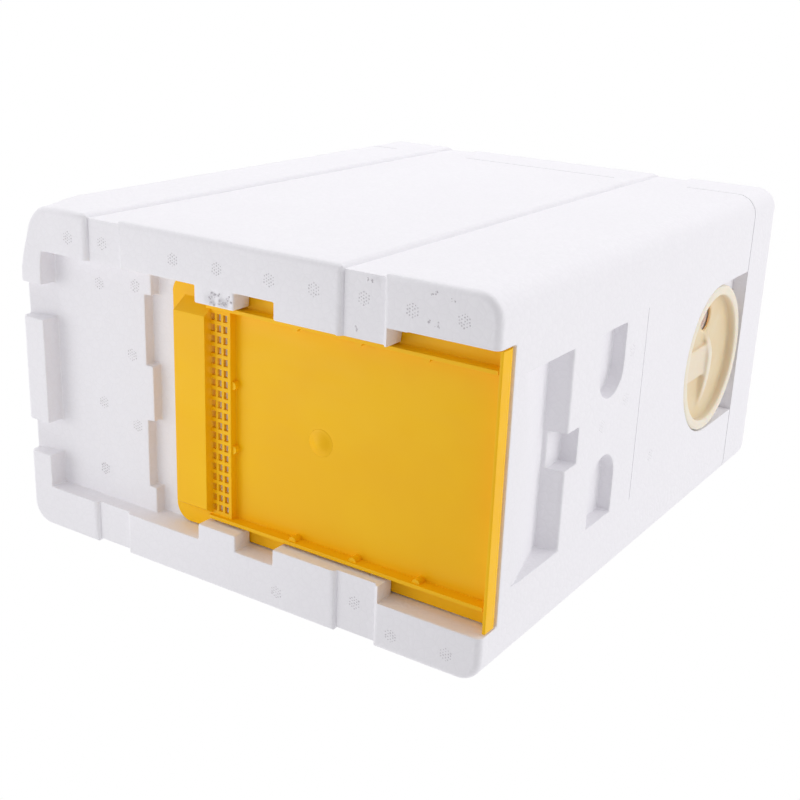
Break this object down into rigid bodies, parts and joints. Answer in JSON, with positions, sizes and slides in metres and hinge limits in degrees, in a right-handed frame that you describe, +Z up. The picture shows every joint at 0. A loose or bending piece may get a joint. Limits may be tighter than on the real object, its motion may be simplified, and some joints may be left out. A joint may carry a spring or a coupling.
{
  "type": "mating nuc box",
  "caption": "Upright foam nuc box for a small bee colony, with lift-off lid, sliding vented floor, turning entrance disc, top bars with wax strips, excluder and feeder tray.",
  "frame": {"origin": "middle of the footprint, in the plane the rim stands on", "axes": "+Z up, -Y towards the front with the entrance disc and the slider's lip, +X to the right as seen from the front"},
  "size_m": [0.156, 0.25, 0.307],
  "materials": {
    "foam": "white moulded bead foam",
    "yellow_plastic": "yellow moulded plastic",
    "cream_plastic": "cream translucent moulded plastic",
    "white_plastic": "white thin-walled plastic",
    "clear_sheet": "clear plastic sheet",
    "pale_wood": "planed softwood",
    "wax": "rolled beeswax"
  },
  "bodies": {
    "body": {"hive_body": "foam"},
    "lid": {"lid": "foam"},
    "slider": {"floor_slider": "yellow_plastic"},
    "disc": {"entrance_disc": "cream_plastic"},
    "cover": {"inner_cover": "clear_sheet"},
    "bar_1": {"top_bar_1": "pale_wood", "starter_strip_1": "wax"},
    "bar_2": {"top_bar_2": "pale_wood", "starter_strip_2": "wax"},
    "bar_3": {"top_bar_3": "pale_wood", "starter_strip_3": "wax"},
    "bar_4": {"top_bar_4": "pale_wood", "starter_strip_4": "wax"},
    "screen": {"feeder_screen": "yellow_plastic"},
    "tray": {"feeder_tray": "white_plastic"}
  },
  "joints": [
    {"name": "lid_lift", "type": "slide", "parent": "body", "child": "lid", "axis": [0, 0, 1], "range_m": [0, 0.24]},
    {"name": "floor_slide", "type": "slide", "parent": "body", "child": "slider", "axis": [0, -1, 0], "range_m": [0, 0.15]},
    {"name": "disc_turn", "type": "hinge", "parent": "body", "child": "disc", "pos_m": [0, -0.1215, 0.23], "axis": [0, -1, 0], "continuous": true},
    {"name": "cover_lift", "type": "slide", "parent": "body", "child": "cover", "axis": [0, 0, 1], "range_m": [0, 0.204]},
    {"name": "bar_1_lift", "type": "slide", "parent": "body", "child": "bar_1", "axis": [0, 0, 1], "range_m": [0, 0.168]},
    {"name": "bar_2_lift", "type": "slide", "parent": "body", "child": "bar_2", "axis": [0, 0, 1], "range_m": [0, 0.1536]},
    {"name": "bar_3_lift", "type": "slide", "parent": "body", "child": "bar_3", "axis": [0, 0, 1], "range_m": [0, 0.1392]},
    {"name": "bar_4_lift", "type": "slide", "parent": "body", "child": "bar_4", "axis": [0, 0, 1], "range_m": [0, 0.1248]},
    {"name": "screen_lift", "type": "slide", "parent": "body", "child": "screen", "axis": [0, 0, 1], "range_m": [0, 0.108]},
    {"name": "tray_lift", "type": "slide", "parent": "body", "child": "tray", "axis": [0, 0, 1], "range_m": [0, 0.072]}
  ],
  "couplings": [
    {"joint": "cover_lift", "follows": "lid_lift", "ratio": 0.85},
    {"joint": "bar_1_lift", "follows": "lid_lift", "ratio": 0.7},
    {"joint": "bar_2_lift", "follows": "lid_lift", "ratio": 0.64},
    {"joint": "bar_3_lift", "follows": "lid_lift", "ratio": 0.58},
    {"joint": "bar_4_lift", "follows": "lid_lift", "ratio": 0.52},
    {"joint": "screen_lift", "follows": "lid_lift", "ratio": 0.45},
    {"joint": "tray_lift", "follows": "lid_lift", "ratio": 0.3}
  ]
}
